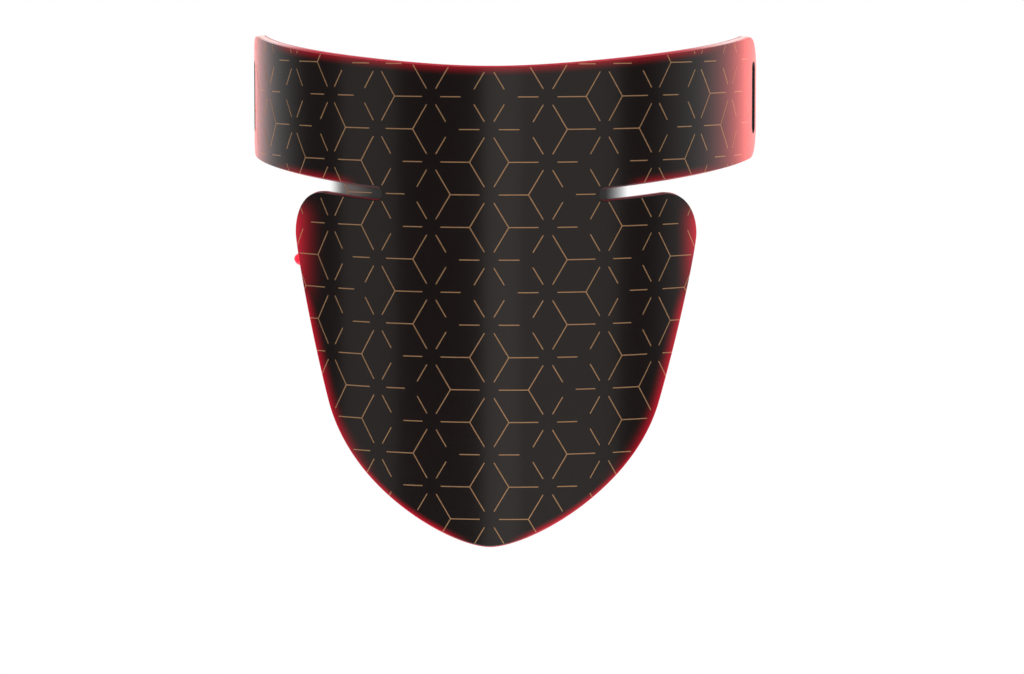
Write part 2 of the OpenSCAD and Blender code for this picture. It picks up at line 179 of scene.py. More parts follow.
def face_edges(cut):
    """The face part's two edges, anticlockwise: round below from -cut to cut, then back along the top."""
    notch_foot = curve(cheek_top, CHEEK_S, NOTCH_S)
    notch_head = curve(wing_low, NOTCH_S, cut)
    right = chain(chin, flank, cheek_round, notch_foot, notch_end, notch_head)
    return [chain(mirrored(right), right), curve(top, cut, -cut)]


def wing_edges(cut):
    """The one edge of the right wing, from the cut's foot round its end and back to the cut's head."""
    low = curve(wing_low, cut, END_S)
    straight = np.linspace(wing_round_low[-1], wing_round_top[0], 18)
    high = curve(top, END_S, cut)
    return [chain(low, wing_round_low[1:], straight, wing_round_top[:-1], high)]


def oval(s, z, w, h, n=16):
    """A clockwise upright oval, for a hole."""
    r = w / 2
    up = arc((s, z + h / 2 - r), r, 180, 0, n)
    down = arc((s, z - h / 2 + r), r, 0, -180, n)
    far_side = np.linspace(up[-1], down[0], 14)[1:-1]
    near_side = np.linspace(down[-1], up[0], 14)[1:-1]
    return np.concatenate([up, far_side, down, near_side])


def normals(path, closed=False):
    """Unit vectors to the left of a path. The ends of an open path point straight up or down."""
    if closed:
        d = np.roll(path, -1, 0) - np.roll(path, 1, 0)
    else:
        d = np.gradient(path, axis=0)
    n = np.stack([-d[:, 1], d[:, 0]], -1)
    n /= np.linalg.norm(n, axis=1)[:, None]
    if not closed:
        for i in (0, -1):
            n[i] = [0, math.copysign(1, n[i][1])]
    return n


def moved_in(path, d):
    return path + d * normals(path)


def inside(points, loop):
    """Even-odd test of points against one closed loop."""
    a, b = loop, np.roll(loop, -1, 0)
    x, y = points[:, :1], points[:, 1:]
    crosses = (a[:, 1] > y) != (b[:, 1] > y)
    dy = np.where(b[:, 1] == a[:, 1], 1e-12, b[:, 1] - a[:, 1])
    at = (b[:, 0] - a[:, 0]) * (y - a[:, 1]) / dy + a[:, 0]
    return (crosses & (x < at)).sum(1) % 2 == 1


def distance(points, loop, closed=True):
    """Distance from each point to the nearest stretch of a path."""
    a = loop
    b = np.roll(loop, -1, 0)
    if not closed:
        a, b = a[:-1], b[:-1]
    d = b - a
    length = np.maximum((d * d).sum(1), 1e-12)
    out = np.empty(len(points))
    for i in range(0, len(points), 2000):
        p = points[i : i + 2000, None, :]
        t = np.clip(((p - a) * d).sum(-1) / length, 0, 1)
        out[i : i + 2000] = np.sqrt(((p - a - t[..., None] * d) ** 2).sum(-1)).min(1)
    return out


# the whole outline, in overlapping stretches, to measure how far a point of the sheet is from the edge
face_low, face_top = face_edges(BEND_FROM - 5)
wing_edge = wing_edges(BEND_FROM - 5)[0]
rim_paths = [face_low, face_top, wing_edge, mirrored(wing_edge)]


def edge_distance(points):
    return np.min([distance(points, p, closed=False) for p in rim_paths], axis=0)


# ---------------------------------------------------------------- mesh makers


def new_object(name, verts, faces, vertex_normals=None, sheet=None, materials=(), face_material=None):
    mesh = bpy.data.meshes.new(name)
    mesh.from_pydata([tuple(v) for v in verts], [], [tuple(int(i) for i in f) for f in faces])
    mesh.update()
    if sheet is not None:
        data = mesh.attributes.new("sheet", "FLOAT_VECTOR", "POINT").data
        data.foreach_set("vector", np.asarray(sheet, np.float32).ravel())
    mesh.polygons.foreach_set("use_smooth", [True] * len(mesh.polygons))
    for m in materials:
        mesh.materials.append(m)
    if face_material is not None:
        mesh.polygons.foreach_set("material_index", np.asarray(face_material, np.int32))
    if vertex_normals is not None:
        mesh.normals_split_custom_set_from_vertices([tuple(n) for n in vertex_normals])
    obj = bpy.data.objects.new(name, mesh)
    bpy.context.scene.collection.objects.link(obj)
    return obj


def turned_out(obj):
    """Makes a closed mesh's faces all look outwards."""
    bm = bmesh.new()
    bm.from_mesh(obj.data)
    bmesh.ops.recalc_face_normals(bm, faces=bm.faces)
    bm.to_mesh(obj.data)
    bm.free()


def bent_normals(s, ns, nz, nr):
    """Vectors in metres-space from their parts along the sheet, up it and out of it."""
    a = turn(s)
    return np.stack([ns * np.cos(a) + nr * np.sin(a), ns * np.sin(a) - nr * np.cos(a), nz], -1)


def sheet_values(points):
    """What the materials read on each point: arc, height, and depth in from the edge, all in millimetres."""
    return np.stack([points[:, 0], points[:, 1], edge_distance(points)], -1)


def triangles(loops, holes, spacing, rows):
    """A fine triangle mesh of a flat region. Returns extra points and the triangles over all points."""
    outer = np.concatenate(loops)
    ring = [outer] + holes
    lo, hi = outer.min(0), outer.max(0)
    grid = [
        (x + (j % 2) * spacing / 2, y)
        for j, y in enumerate(np.arange(lo[1] + spacing / 2, hi[1], spacing * 0.9))
        for x in np.arange(lo[0] + spacing / 2, hi[0], spacing)
    ]
    near = [moved_in(p, d) for p in loops for d in rows]
    extra = np.concatenate([np.array(grid)] + near)
    keep = inside(extra, outer)
    clear = np.min([distance(extra, r) for r in ring], axis=0)
    for h in holes:
        keep &= ~inside(extra, h)
    extra = extra[keep & (clear > 0.7)]
    points = np.concatenate(ring + [extra])
    edges, start = [], 0
    for r in ring:
        n = len(r)
        edges += [(start + i, start + (i + 1) % n) for i in range(n)]
        start += n
    found = delaunay_2d_cdt([Vector(p) for p in points], edges, [], 0, 1e-6, True)
    tris = np.array([[found[3][i][0] for i in f] for f in found[2]])
    mid = points[tris].mean(1)
    good = inside(mid, outer)
    for h in holes:
        good &= ~inside(mid, h)
    return extra, tris[good]


RIM_ROWS = (1.2, 2.5, 4.0, 6.0, 9.0)  # extra rows of points along an edge, where the light fades


def sheet_body(name, edges, profile, inset=0.0, holes=(), materials=(), spacing=3.0, rows=RIM_ROWS):
    """A closed sheet. edges are open paths, anticlockwise, joined by straight cuts. profile is the rim's
    section from the front face to the back as (distance in, radius)."""
    paths = [moved_in(p, inset) for p in edges]
    prof = np.array(profile, float)
    seg = np.diff(prof, axis=0)
    side = np.stack([seg[:, 1], -seg[:, 0]], -1)
    side /= np.linalg.norm(side, axis=1)[:, None]
    mixed = np.concatenate([[[0, 1]], side[1:] + side[:-1], [[0, -1]]])
    mixed /= np.linalg.norm(mixed, axis=1)[:, None]
    n_rows = len(prof)

    points, vec, radii, faces = [], [], [], []
    count = 0
    row_ids = []  # for each path, its vertex numbers by row
    for path, closed in [(p, False) for p in paths] + [(h, True) for h in holes]:
        nrm = normals(path, closed)
        ids = []
        for (d, r), (nd, nr) in zip(prof, mixed):
            points.append(path + d * nrm)
            vec.append(np.column_stack([nd * nrm, np.full(len(path), nr)]))
            radii.append(np.full(len(path), r))
            ids.append(np.arange(count, count + len(path)))
            count += len(path)
        row_ids.append(ids)
        last = len(path) if closed else len(path) - 1
        for k in range(n_rows - 1):
            for i in range(last):
                j = (i + 1) % len(path)
                faces.append((ids[k][i], ids[k + 1][i], ids[k + 1][j], ids[k][j]))

    # straight cuts between the end of one path and the start of the next, on the front and the back
    cut_ids = []
    n_paths = len(paths)
    for k in range(n_paths):
        a, b = paths[k][-1], paths[(k + 1) % n_paths][0]
        pair = []
        for row, sign in ((0, 1), (n_rows - 1, -1)):
            d, r = prof[row]
            da, db = math.copysign(d, b[1] - a[1]), math.copysign(d, a[1] - b[1])
            p = np.linspace(a + [0, da], b + [0, db], 22)[1:-1]
            points.append(p)
            vec.append(np.tile([0.0, 0, sign], (len(p), 1)))
            radii.append(np.full(len(p), r))
            pair.append(np.arange(count, count + len(p)))
            count += len(p)
        cut_ids.append(pair)
        ends, starts = row_ids[k], row_ids[(k + 1) % n_paths]
        cap = list(pair[0]) + [starts[i][0] for i in range(n_rows)]
        cap += list(pair[1][::-1]) + [ends[i][-1] for i in range(n_rows - 1, -1, -1)]
        faces.append(tuple(cap[::-1]))

    flat_points = np.concatenate(points)
    for row, sign, pick in ((0, 1, 0), (n_rows - 1, -1, 1)):
        around = [ids for k in range(n_paths) for ids in (row_ids[k][row], cut_ids[k][pick])]
        loop_ids = np.concatenate(around)
        hole_ids = [row_ids[n_paths + h][row] for h in range(len(holes))]
        loops = [flat_points[loop_ids]]
        extra, tris = triangles(loops, [flat_points[i] for i in hole_ids], spacing, rows)
        numbers = np.concatenate([loop_ids] + hole_ids + [np.arange(count, count + len(extra))])
        points.append(extra)
        vec.append(np.tile([0.0, 0, sign], (len(extra), 1)))
        radii.append(np.full(len(extra), prof[row][1]))
        count += len(extra)
        tris = numbers[tris]
        faces += [tuple(t) for t in (tris if sign > 0 else tris[:, ::-1])]

    p, v, r = np.concatenate(points), np.concatenate(vec), np.concatenate(radii)
    return new_object(
        name,
        spots(p[:, 0], p[:, 1], r),
        faces,
        bent_normals(p[:, 0], v[:, 0], v[:, 1], v[:, 2]),
        sheet_values(p),
        materials,
    )


def ribbon(name, path, section, materials):
    """A closed section of (distance in, radius) swept along a path, capped at its ends."""
    nrm = normals(path)
    sec = np.array(section, float)
    m, n = len(sec), len(path)
    p = np.concatenate([path + d * nrm for d, _ in sec])
    r = np.repeat(sec[:, 1], n)
    faces = []
    for k in range(m):
        a, b = k * n, (k + 1) % m * n
        for i in range(n - 1):
            faces.append((a + i, b + i, b + i + 1, a + i + 1))
    faces.append(tuple(k * n for k in range(m))[::-1])
    faces.append(tuple(k * n + n - 1 for k in range(m)))
    return new_object(name, spots(p[:, 0], p[:, 1], r), faces, None, sheet_values(p), materials)


def flipped(obj, name):
    """The mirror image of a right-hand piece, with its own mesh."""
    mesh = obj.data.copy()
    mesh.name = name
    n = len(mesh.vertices)
    co = np.empty(n * 3)
    mesh.vertices.foreach_get("co", co)
    co = co.reshape(-1, 3) * [-1, 1, 1]
    had_normals = mesh.has_custom_normals
    by_vertex = np.zeros((n, 3))
    if had_normals:
        for loop, corner in zip(mesh.loops, mesh.corner_normals):
            v = corner.vector
            by_vertex[loop.vertex_index] = (-v[0], v[1], v[2])
    mesh.vertices.foreach_set("co", co.ravel())
    mesh.flip_normals()
    data = mesh.attributes.get("sheet")
    if data:
        v = np.empty(n * 3, np.float32)
        data.data.foreach_get("vector", v)
        v = v.reshape(-1, 3) * [-1, 1, 1]
        data.data.foreach_set("vector", v.astype(np.float32).ravel())
    if had_normals:
        mesh.normals_split_custom_set_from_vertices([tuple(v) for v in by_vertex])
    mesh.update()
    made = bpy.data.objects.new(name, mesh)
    bpy.context.scene.collection.objects.link(made)
    return made


# ---------------------------------------------------------------- materials


class Nodes:
    """A material's node tree, with short calls for the few nodes used here."""

    def __init__(self, name):
        self.material = bpy.data.materials.new(name)
        self.material.use_nodes = True
        self.tree = self.material.node_tree
        self.bsdf = self.tree.nodes["Principled BSDF"]

    def node(self, kind, **values):
        n = self.tree.nodes.new(kind)
        for key, value in values.items():
            if hasattr(n, key):
                setattr(n, key, value)
            else:
                n.inputs[key.replace("_", " ")].default_value = value
        return n

    def link(self, a, b):
        self.tree.links.new(a, b)

    def set(self, **values):
        for key, value in values.items():
            self.bsdf.inputs[key.replace("_", " ")].default_value = value

    def sheet(self):
        """Arc, height and distance from the edge, in millimetres, as three sockets and the vector."""
        attribute = self.node("ShaderNodeAttribute", attribute_name="sheet")
        parts = self.node("ShaderNodeSeparateXYZ")
        self.link(attribute.outputs["Vector"], parts.inputs[0])
        return parts.outputs[0], parts.outputs[1], parts.outputs[2], attribute.outputs["Vector"]

    def math(self, op, a, b=None, clamp=False):
        n = self.node("ShaderNodeMath", operation=op, use_clamp=clamp)
        for i, v in enumerate((a, b)):
            if v is None:
                continue
            if isinstance(v, (int, float)):
                n.inputs[i].default_value = v
            else:
                self.link(v, n.inputs[i])
        return n.outputs[0]

    def times(self, a, b):
        return self.math("MULTIPLY", a, b)

    def fade(self, value, low, high, smooth=True):
        """0 at low and 1 at high, or the other way round if low is above high."""
        shape = "SMOOTHSTEP" if smooth else "LINEAR"
        n = self.node("ShaderNodeMapRange", interpolation_type=shape, clamp=True)
        n.inputs["From Min"].default_value = min(low, high)
        n.inputs["From Max"].default_value = max(low, high)
        n.inputs["To Min"].default_value = 0 if low < high else 1
        n.inputs["To Max"].default_value = 1 if low < high else 0
        self.link(value, n.inputs["Value"])
        return n.outputs["Result"]

    def mix(self, factor, a, b):
        n = self.node("ShaderNodeMix", data_type="RGBA")
        for socket, v in ((n.inputs[0], factor), (n.inputs[6], a), (n.inputs[7], b)):
            if isinstance(v, (int, float)):
                socket.default_value = v
            elif isinstance(v, tuple):
                socket.default_value = (*v, 1) if len(v) == 3 else v
            else:
                self.link(v, socket)
        return n.outputs[2]

    def noise(self, scale, detail=3.0, vector=None, roughness=0.5):
        n = self.node("ShaderNodeTexNoise")
        n.inputs["Scale"].default_value = scale
        n.inputs["Detail"].default_value = detail
        n.inputs["Roughness"].default_value = roughness
        if vector is None:
            vector = self.node("ShaderNodeTexCoord").outputs["Object"]
        self.link(vector, n.inputs["Vector"])
        return n.outputs["Fac"]

    def bump(self, height, strength, distance):
        n = self.node("ShaderNodeBump")
        n.inputs["Strength"].default_value = strength
        n.inputs["Distance"].default_value = distance
        self.link(height, n.inputs["Height"])
        self.link(n.outputs[0], self.bsdf.inputs["Normal"])

    def rough(self, value, low, high):
        n = self.node("ShaderNodeMapRange")
        n.inputs["To Min"].default_value = low
        n.inputs["To Max"].default_value = high
        self.link(value, n.inputs["Value"])
        self.link(n.outputs["Result"], self.bsdf.inputs["Roughness"])


def painted_glow_masks(n):
    """How strongly the painted red edge glow shows on the sheet, and how far a point is into the painted pink
    reflection on a wing end.
    Every fade is over millimetres of arc, height or depth from the edge."""
    s, z, depth, _ = n.sheet()
    away = n.math("ABSOLUTE", s)
    # along the jaw and the lower flanks, close to the edge
    below = n.times(n.fade(away, 44, 78), n.math("POWER", n.fade(depth, 8.0, 0, False), 2.6))
    below = n.times(below, n.fade(z, 114, 98))
    # on the cheeks, where the light reaches further in
    right = n.math("POWER", n.fade(s, 84, 98.5, False), 2.2)
    left = n.math("POWER", n.fade(s, -76, -98.5, False), 2.6)
    heights = n.times(n.fade(z, 94, 112), n.fade(z, 146, 134))
    beside = n.times(n.math("ADD", right, left), heights)
    # along the band's top and the wings' lower edges
    band = n.times(n.math("POWER", n.fade(depth, 4.6, 0, False), 2.0), n.fade(away, 122, 96))
    band = n.times(band, n.math("MAXIMUM", n.fade(z, 186, 196), n.fade(away, 58, 72)))
    band = n.times(band, n.times(n.fade(z, 147, 150), 0.5))
    # a thin line round the chin
    rim = n.math("POWER", n.fade(depth, 3.4, 0.3, False), 1.8)
    rim = n.times(rim, n.times(n.fade(z, 80, 60), n.fade(away, 6, 24)))
    # painted red glow near the edges, not light from a lamp
    lit = n.math("MAXIMUM", n.math("MAXIMUM", below, beside), n.math("MAXIMUM", band, rim))
    # the wing ends, unequal as in the photograph
    # painted pink reflection on the wing ends
    right = n.math("POWER", n.fade(s, 92, 140, False), 2.7)
    left = n.times(n.math("POWER", n.fade(s, -104, -152, False), 3.2), 1.15)
    end = n.times(n.math("ADD", right, left), n.fade(z, 146, 152))
    return lit, end


def make_shell():
    n = Nodes("shell_gloss_black")
    lit, end = painted_glow_masks(n)
    _, _, _, vector = n.sheet()
    cloud = n.noise(0.03, 3, vector)
    base = n.mix(cloud, (0.0042, 0.0021, 0.0016), (0.0066, 0.0034, 0.0027))
    # painted red edge glow and painted pink end reflection, mixed into the colour
    base = n.mix(lit, base, (0.1, 0.0, 0.006))
    base = n.mix(end, base, (0.3, 0.05, 0.045))
    n.link(base, n.bsdf.inputs["Base Color"])
    n.rough(n.noise(0.35, 4, vector), 0.2, 0.26)
    n.bump(n.noise(2.2, 5, vector), 0.03, 0.0001)
    # the same painted glow and reflection, given off as emission
    n.link(n.mix(end, (0.62, 0.0, 0.018), (0.75, 0.03, 0.028)), n.bsdf.inputs["Emission Color"])
    strength = n.math("ADD", n.times(lit, 0.9), n.times(end, 0.85))
    n.link(strength, n.bsdf.inputs["Emission Strength"])
    n.set(IOR=1.45, Coat_Weight=0.3, Coat_Roughness=0.15)
    return n.material


def make_foil():
    n = Nodes("foil_rose_gold")
    lit, end = painted_glow_masks(n)
    _, _, _, vector = n.sheet()
    grain = n.noise(1.4, 4, vector)
    base = n.mix(grain, (0.3, 0.16, 0.08), (0.46, 0.27, 0.15))
    # painted pink reflection on the wing ends
    base = n.mix(end, base, (0.6, 0.2, 0.14))
    n.link(base, n.bsdf.inputs["Base Color"])
    n.rough(grain, 0.32, 0.5)
    n.bump(n.noise(6.0, 2, vector), 0.1, 0.0001)
    # painted glow: a faint warm emission over all the foil, red near the edges, pink on the wing ends
    glow = n.mix(lit, (0.2, 0.115, 0.055), (0.7, 0.05, 0.05))
    n.link(n.mix(end, glow, (0.8, 0.2, 0.15)), n.bsdf.inputs["Emission Color"])
    strength = n.math("ADD", 0.3, n.times(n.math("MAXIMUM", lit, end), 0.5))
    n.link(strength, n.bsdf.inputs["Emission Strength"])
    n.set(Metallic=0.75)
    return n.material


def make_seal():
    n = Nodes("seal_red_translucent")
    s, z, _, vector = n.sheet()
    cloud = n.noise(0.2, 3, vector)
    away = n.math("ABSOLUTE", s)
    # painted pink-white reflection at the wing ends, painted shade inside the notches
    pale = n.times(n.fade(away, 84, 128), n.fade(z, 147, 151))
    shaded = n.times(n.fade(away, 88, 80), n.times(n.fade(z, 138, 143), n.fade(z, 155, 151)))
    shaded = n.times(shaded, 0.8)
    base = n.mix(shaded, n.mix(cloud, (0.3, 0.0, 0.015), (0.45, 0.002, 0.025)), (0.03, 0.006, 0.008))
    n.link(n.mix(pale, base, (0.86, 0.6, 0.58)), n.bsdf.inputs["Base Color"])
    n.rough(cloud, 0.3, 0.45)
    # painted red glow: the seal gives off light as if lit from inside
    glow = n.mix(shaded, n.mix(cloud, (0.75, 0.0, 0.03), (1.0, 0.02, 0.07)), (0.02, 0.0, 0.001))
    n.link(n.mix(pale, glow, (0.9, 0.5, 0.48)), n.bsdf.inputs["Emission Color"])
    n.bump(n.noise(2.5, 3, vector), 0.1, 0.0002)
    n.set(Emission_Strength=0.2, Subsurface_Weight=0.3, Subsurface_Scale=0.002)
    return n.material


def make_web():
    # painted shade: a dark film in each notch, standing in for the shade at the notch's end; its alpha fades
    # it out along the notch
    n = Nodes("notch_web_painted_shade")
    s, _, _, vector = n.sheet()
    cloud = n.noise(0.3, 3, vector)
    smoke = n.mix(cloud, (0.012, 0.011, 0.011), (0.024, 0.022, 0.022))
    thin = n.fade(s, -51, -66)
    n.link(n.mix(thin, smoke, (0.12, 0.1, 0.095)), n.bsdf.inputs["Base Color"])
    n.rough(cloud, 0.3, 0.45)
    right = n.times(n.fade(s, 61, 50, False), n.fade(s, 0, 1))
    left = n.times(n.fade(s, -77, -65), n.fade(s, 0, -1))
    dense = n.math("ADD", right, left)
    n.link(n.math("MULTIPLY", dense, 0.94, True), n.bsdf.inputs["Alpha"])
    n.bump(n.noise(2.5, 3, vector), 0.08, 0.0002)
    return n.material


def make_cover():
    n = Nodes("cover_clear")
    _, _, depth, vector = n.sheet()
    haze = n.noise(0.12, 4, vector)
    # painted red glow along the cover's edge, in its colour and opacity
    rim = n.fade(depth, 2.2, 0.2)
    n.link(n.mix(rim, (0.86, 0.84, 0.84), (0.7, 0.08, 0.1)), n.bsdf.inputs["Base Color"])
    n.rough(haze, 0.06, 0.16)
    alpha = n.math("ADD", n.times(haze, 0.05), n.math("ADD", 0.06, n.times(rim, 0.5)))
    n.link(alpha, n.bsdf.inputs["Alpha"])
    n.bump(n.noise(0.6, 2, vector), 0.02, 0.0002)
    n.set(IOR=1.45)
    return n.material


# long copper tracks along the board, with a link up to the next track here and there, in millimetres
TRACKS = {
    "Scale": 1.0,
    "Brick Width": 62.0,
    "Row Height": 3.4,
    "Mortar Size": 0.26,
    "Mortar Smooth": 0.3,
}


def make_board():
    n = Nodes("board_white_flex")
    _, _, depth, vector = n.sheet()
    weave = n.noise(1.2, 4, vector)
    trace = n.node("ShaderNodeTexBrick", offset=0.5)
    for key, value in TRACKS.items():
        trace.inputs[key].default_value = value
    n.link(vector, trace.inputs["Vector"])
    base = n.mix(weave, (0.62, 0.6, 0.58), (0.74, 0.72, 0.7))
    base = n.mix(n.times(trace.outputs["Fac"], 0.7), base, (0.58, 0.38, 0.24))
    border = n.times(n.fade(depth, 4.4, 4.9), n.fade(depth, 6.0, 5.4))
    base = n.mix(n.times(border, 0.6), base, (0.6, 0.42, 0.28))
    n.link(base, n.bsdf.inputs["Base Color"])
    n.rough(weave, 0.38, 0.55)
    n.bump(n.math("ADD", trace.outputs["Fac"], n.times(weave, 0.3)), 0.25, 0.0001)
    # painted red glow: a faint emission standing in for the LEDs' light on the board
    n.set(Emission_Color=(0.9, 0.05, 0.06, 1), Emission_Strength=0.06)
    return n.material


def moulded(name, dark, light, rough, bump=0.08, scale=900.0, **extra):
    """A moulded or sprayed surface: a little colour drift, fine grain and uneven gloss."""
    n = Nodes(name)
    fine = n.noise(scale, 4)
    broad = n.noise(scale / 9, 2)
    n.link(n.mix(broad, dark, light), n.bsdf.inputs["Base Color"])
    n.rough(fine, *rough)
    n.bump(fine, bump, 0.0001)
    n.set(**extra)
    return n.material


SHELL = make_shell()
FOIL = make_foil()
SEAL = make_seal()
WEB = make_web()
COVER = make_cover()
BOARD = make_board()
FILM = moulded("film_amber", (0.36, 0.15, 0.02), (0.5, 0.24, 0.05), (0.2, 0.32), IOR=1.6)
PACKAGE = moulded("led_package_white", (0.78, 0.76, 0.72), (0.9, 0.89, 0.86), (0.35, 0.5))
SOLDER = moulded("solder_tin", (0.55, 0.54, 0.53), (0.75, 0.74, 0.72), (0.22, 0.4), 0.3, Metallic=1.0)
RED_WINDOW = moulded(
    "led_window_red", (0.75, 0.02, 0.02), (0.95, 0.08, 0.05), (0.12, 0.25),
    Emission_Color=(1.0, 0.045, 0.03, 1), Emission_Strength=2.6,
)
NIR_WINDOW = moulded("led_window_smoke", (0.05, 0.02, 0.03), (0.12, 0.05, 0.06), (0.08, 0.2), IOR=1.5)
CHIP = moulded("chip_epoxy_black", (0.012, 0.012, 0.013), (0.03, 0.03, 0.032), (0.42, 0.6), 0.2, 2500.0)
CERAMIC = moulded("capacitor_ceramic", (0.3, 0.2, 0.12), (0.42, 0.3, 0.19), (0.4, 0.55))
SILICONE = moulded(
    "silicone_frosted", (0.66, 0.64, 0.63), (0.78, 0.76, 0.75), (0.38, 0.52), 0.12, 1300.0,
    Subsurface_Weight=0.5, Subsurface_Scale=0.004, Sheen_Weight=0.15,
)
EYELET = moulded(
    "eyelet_black_rubber", (0.006, 0.005, 0.005), (0.018, 0.016, 0.016), (0.4, 0.55), 0.25, 1800.0
)
# painted red glow: the boot gives off light standing in for the LEDs' light inside it
BOOT = moulded(
    "boot_red_lit", (0.55, 0.0, 0.02), (0.85, 0.01, 0.04), (0.28, 0.42),
    Emission_Color=(1.0, 0.01, 0.05, 1), Emission_Strength=0.6,
    Subsurface_Weight=0.3, Subsurface_Scale=0.002,
)
METAL = moulded(
    "sleeve_nickel", (0.62, 0.61, 0.6), (0.8, 0.79, 0.78), (0.14, 0.28), 0.1, 3000.0, Metallic=1.0
)
CONTACT = moulded(
    "contact_gold", (0.75, 0.45, 0.18), (0.9, 0.6, 0.28), (0.18, 0.3), 0.1, 3000.0, Metallic=1.0
)

# ---------------------------------------------------------------- the sheet layers

CUT = BEND_FROM
bend_start = tuple(spots(BEND_FROM, SEAT_Z, HINGE_R))
bend_end = tuple(spots(BEND_TO, SEAT_Z, HINGE_R))


def both_wings(right, stem, slot, *nodes, left=None):
    """Names a right-hand piece and its mirror image, or its own left piece, bakes their placement and hides
    the CAD parts they replace. nodes are CAD names without their side."""
    right.name = stem + "_right"
    left = left or flipped(right, stem + "_left")
    left.name = stem + "_left"
    for obj, side, flip in ((right, "right", 1), (left, "left", -1)):
        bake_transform(obj)
        if nodes:
            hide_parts(*[f"{n}_{side}" for n in nodes])
    return right, left


def rounded(front, back, r):
    """A rim section with both corners rounded."""
    steps = [math.radians(a) for a in (0, 22.5, 45, 67.5, 90)]
    near = [(r * (1 - math.sin(a)), front - r * (1 - math.cos(a))) for a in steps]
    far = [(r * (1 - math.cos(a)), back + r * (1 - math.sin(a))) for a in steps]
    return near + far


SHELL_RIM = rounded(SHEET_R, SHELL_IN, 0.4)
shell = sheet_body("shell_face", face_edges(CUT), SHELL_RIM, SHELL_INSET, materials=[SHELL])
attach(shell, "visor")
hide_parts("front_shell")

slot_hole = oval(SLOT_S, SLOT_Z, SLOT_W + 0.1, SLOT_H + 0.1)
both_wings(
    sheet_body("wing", wing_edges(CUT), SHELL_RIM, SHELL_INSET, [slot_hole], [SHELL]),
    "shell_wing", "shell_black", "temple_shell", "bend_shell",
)

COVER_RIM = rounded(COVER_R, COVER_IN, 0.35)
cover = sheet_body("cover_face", face_edges(CUT), COVER_RIM, materials=[COVER], spacing=4.0)
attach(cover, "visor")
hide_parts("inner_cover")
both_wings(
    sheet_body("wing", wing_edges(CUT), COVER_RIM, 0.0, [slot_hole], [COVER], 4.0),
    "cover_wing", "cover_clear", "temple_cover", "bend_cover",
)

BOARD_END = 60.0  # the face board's ends
WING_BOARD = (70.0, 146.0)  # the wing boards' ends
JUMPER_S, JUMPER_Z = (58, 72), (170, 184)
BOARD_RIM = [(0.05, BOARD_R), (0, BOARD_R - 0.05), (0, BOARD_IN + 0.05), (0.05, BOARD_IN)]
board = sheet_body(
    "board_face", face_edges(BOARD_END), BOARD_RIM, BOARD_INSET, materials=[BOARD], spacing=5.0, rows=(2.5,)
)
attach(board, "visor")
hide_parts("led_board")


def tongue(s0, s1):
    """The wing board's edge as one anticlockwise path with a square end."""
    low = curve(lambda s: wing_low(s) + BOARD_INSET, s0, s1)
    high = curve(lambda s: top(s) - BOARD_INSET, s1, s0)
    return [chain(low, np.linspace(low[-1], high[0], 20), high)]


both_wings(
    sheet_body("wing", tongue(*WING_BOARD), BOARD_RIM, materials=[BOARD], spacing=5.0, rows=(2.5,)),
    "board_wing", "board_white", "temple_board",
)
JUMPER_RIM = [(0.02, 108.25), (0, 108.22), (0, 108.13), (0.02, 108.1)]
jumper_low = curve(lambda s: JUMPER_Z[0] + 0 * s, *JUMPER_S)
jumper_high = curve(lambda s: JUMPER_Z[1] + 0 * s, *JUMPER_S[::-1])
both_wings(
    sheet_body("wing", [jumper_low, jumper_high], JUMPER_RIM, materials=[FILM], rows=()),
    "jumper", "board_amber", "flex_jumper",
)

SEAL_EASE = 0.3
SEAL_SECTION = [
    (SEAL_EASE, SEAL_R),
    (0.0, SEAL_R - SEAL_EASE),
    (0.0, SEAL_IN + SEAL_EASE),
    (SEAL_EASE, SEAL_IN),
    (SEAL_W, SEAL_IN),
    (SEAL_W, SEAL_R),
]
low_edge, top_edge = face_edges(CUT)
at_port = (abs(low_edge[:, 1] - PORT_Z) < PORT_GAP) & (low_edge[:, 0] < PORT_BEYOND)
first, last = np.flatnonzero(at_port)[[0, -1]]
seals = [
    ribbon("seal_top", top_edge, SEAL_SECTION, [SEAL]),
    ribbon("seal_cheek", low_edge[:first], SEAL_SECTION, [SEAL]),
    ribbon("seal_chin", low_edge[last + 1 :], SEAL_SECTION, [SEAL]),
]
for piece in seals:
    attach(piece, "visor")
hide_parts("edge_seal")
wing_seal = ribbon("wing", wing_edges(CUT)[0], SEAL_SECTION, [SEAL])
both_wings(wing_seal, "seal_wing", "seal_red", "temple_seal", "bend_seal")


def web_low(s):
    return cheek_top(s) - WEB_LIP


def web_high(s):
    """The web's upper edge: tucked behind the sheet at the notch's end, and clear of the wing beyond it."""
    return wing_low(s) + np.where(s < WEB_REACH["right"] + 0.05, WEB_LIP, -WEB_CLEAR)


WEB_RIM = [(0.02, WEB_R), (0, WEB_R - 0.05), (0, WEB_R - WEB_T + 0.05), (0.02, WEB_R - WEB_T)]
# the webs are dark films that stand in for the shade at the notches' ends: painted shade
for side, reach in WEB_REACH.items():
    edges = [curve(web_low, WEB_FROM, reach), curve(web_high, reach, WEB_FROM)]
    web = sheet_body("web", edges, WEB_RIM, materials=[WEB], spacing=2.0, rows=())
    if side == "left":
        plain = web
        web = flipped(plain, "web_left")
        bpy.data.objects.remove(plain)
    web.name = "notch_web_" + side
    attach(web, "visor")

# ---------------------------------------------------------------- foil lines


